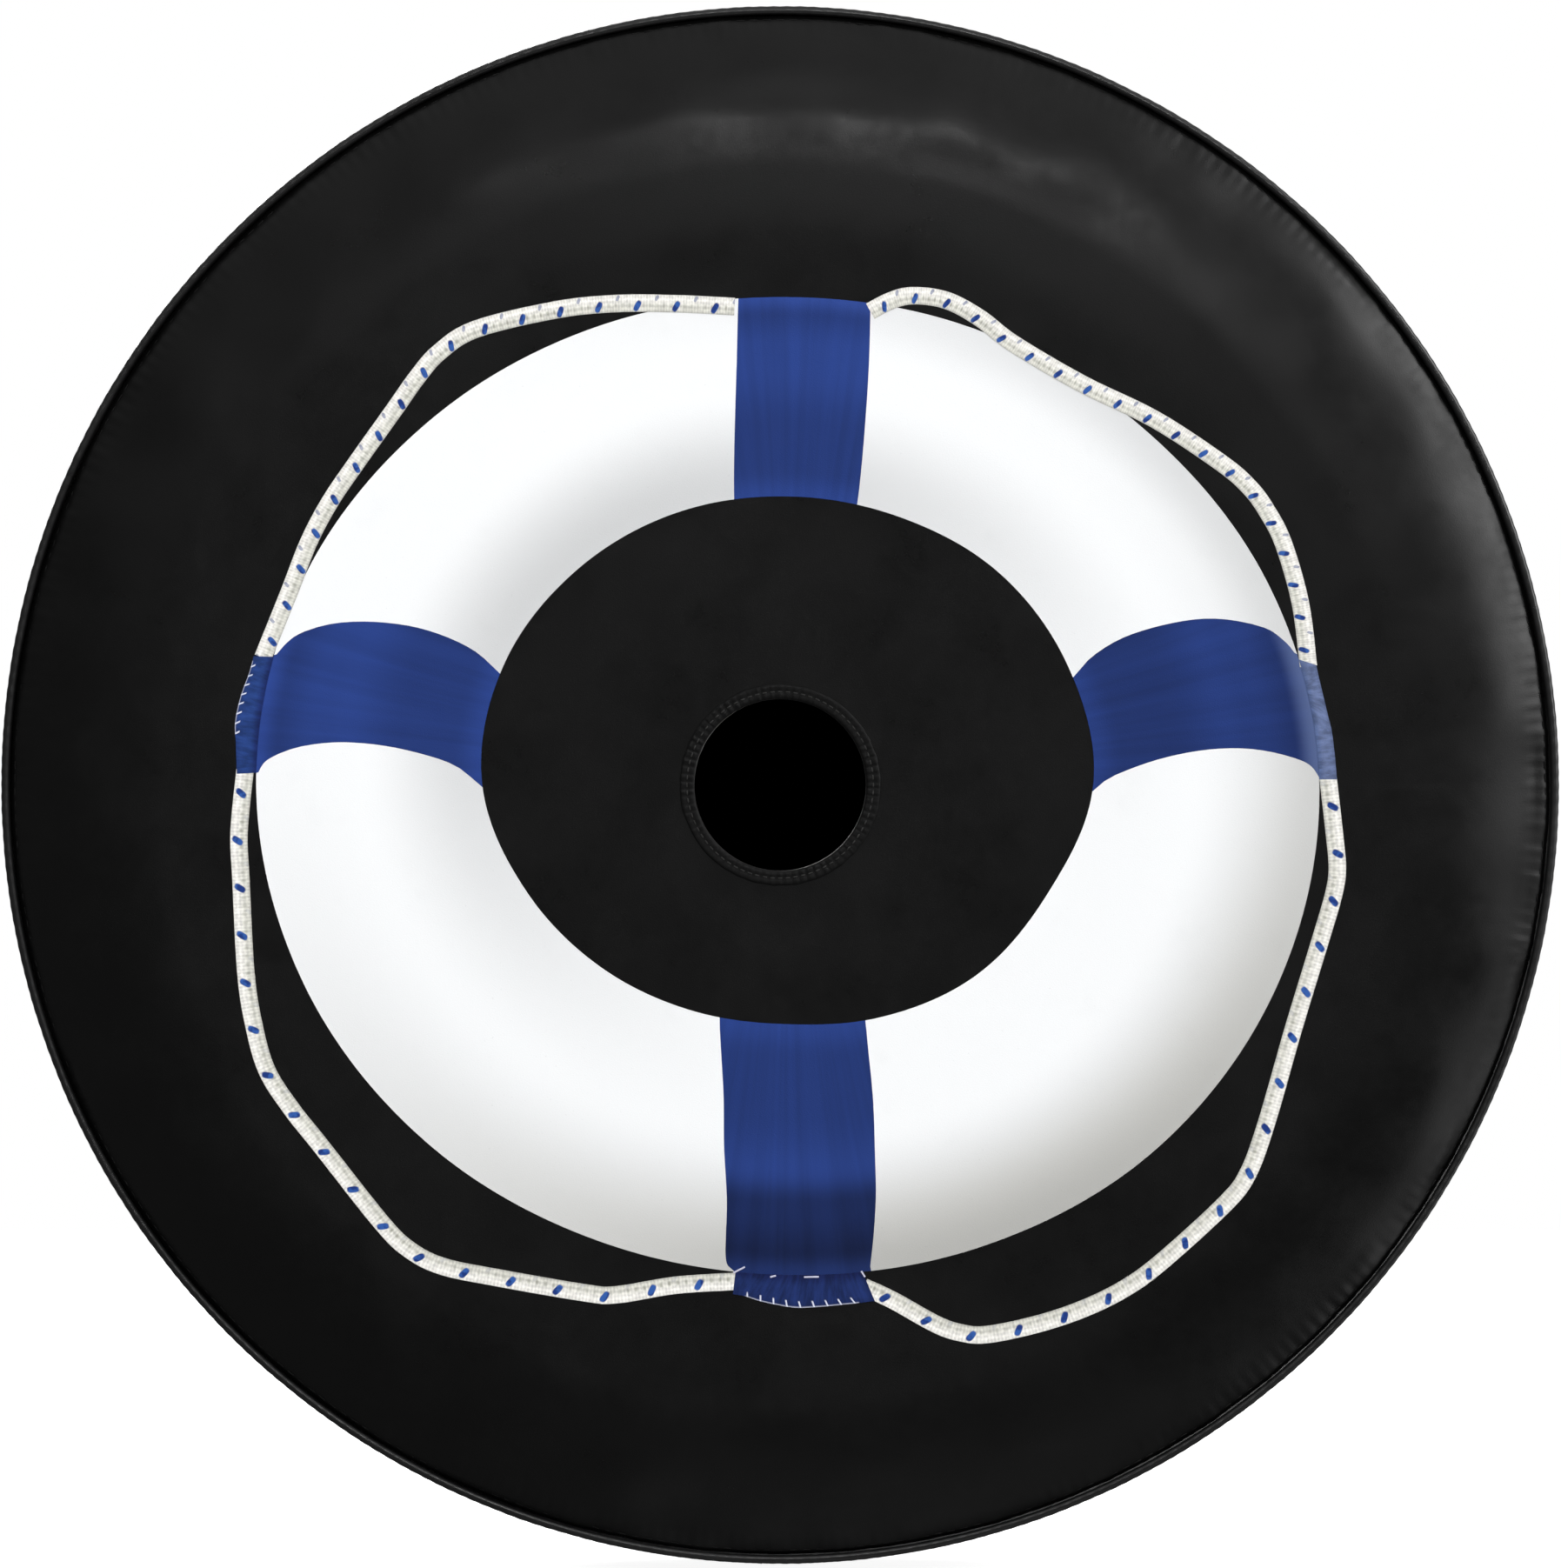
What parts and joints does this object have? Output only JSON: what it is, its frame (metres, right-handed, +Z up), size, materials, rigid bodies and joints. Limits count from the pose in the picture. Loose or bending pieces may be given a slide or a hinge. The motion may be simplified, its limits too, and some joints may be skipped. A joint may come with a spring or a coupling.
{
  "type": "spare tire cover",
  "caption": "Round soft cover for a spare wheel: printed vinyl face with a camera port, side band over the tread and an elastic hem with a cord lock.",
  "frame": {"origin": "centre of the spare tyre that the cover is worn on: on the wheel's axis, at the middle of the tread", "axes": "+Y along the wheel's axis, from the printed face towards the open back; +Z up as worn; +X to the right of someone who looks at the face"},
  "size_m": [0.8209, 0.2793, 0.8216],
  "materials": {
    "face_vinyl": "satin black fabric-backed vinyl with a fine pebble grain",
    "band_vinyl": "satin black fabric-backed vinyl with a fine pebble grain, gathered behind the tyre",
    "binding_vinyl": "soft black vinyl binding with a slight sheen",
    "hem_binding": "black coated polyester binding with a fine grain",
    "print_white": "white printed film, satin",
    "print_blue": "royal blue printed film, satin, with fine weave lines",
    "print_rope": "cream printed film with a braid pattern and blue flecks",
    "print_navy": "deep blue printed film with white stitches",
    "stiffener_plastic": "black polyethylene sheet",
    "seam_thread": "black bonded polyester thread",
    "port_thread": "charcoal bonded polyester thread",
    "piping_cord": "undyed cotton piping cord",
    "eyelet_steel": "nickel-plated, lightly scratched",
    "elastic_cord": "black braided elastic cord",
    "lock_plastic": "black nylon, fine moulded texture",
    "button_plastic": "dark grey nylon",
    "spring_steel": "bright spring wire"
  },
  "bodies": {
    "cover": {"face_panel": "face_vinyl", "print_life_ring": "print_white", "print_ring_bands": "print_blue", "print_grab_rope": "print_rope", "print_rope_seizings": "print_navy", "camera_port_binding": "binding_vinyl", "camera_port_stiffener": "stiffener_plastic", "camera_port_thread": "port_thread", "welt_cover": "binding_vinyl", "welt_core": "piping_cord", "face_seam_thread": "seam_thread", "side_band": "band_vinyl", "band_joint_tape": "hem_binding", "band_joint_thread": "seam_thread", "drain_eyelets": "eyelet_steel", "drain_eyelet_washers": "eyelet_steel", "hem_casing": "hem_binding", "hem_thread": "seam_thread", "hem_eyelets": "eyelet_steel", "drawcord": "elastic_cord", "cord_end_cap": "lock_plastic"},
    "cord_lock": {"cord_lock_body": "lock_plastic", "cord_lock_spring": "spring_steel"},
    "lock_button": {"cord_lock_plunger": "button_plastic"}
  },
  "joints": [
    {"name": "cord_lock_slide", "type": "slide", "parent": "cover", "child": "cord_lock", "axis": [0, 0, -1], "range_m": [0, 0.016]},
    {"name": "lock_button_press", "type": "slide", "parent": "cord_lock", "child": "lock_button", "axis": [-1, 0, 0], "range_m": [0, 0.004], "stiffness_N_per_m": 1500, "springref_m": -0.0015, "deforming": ["cord_lock_spring"]}
  ]
}
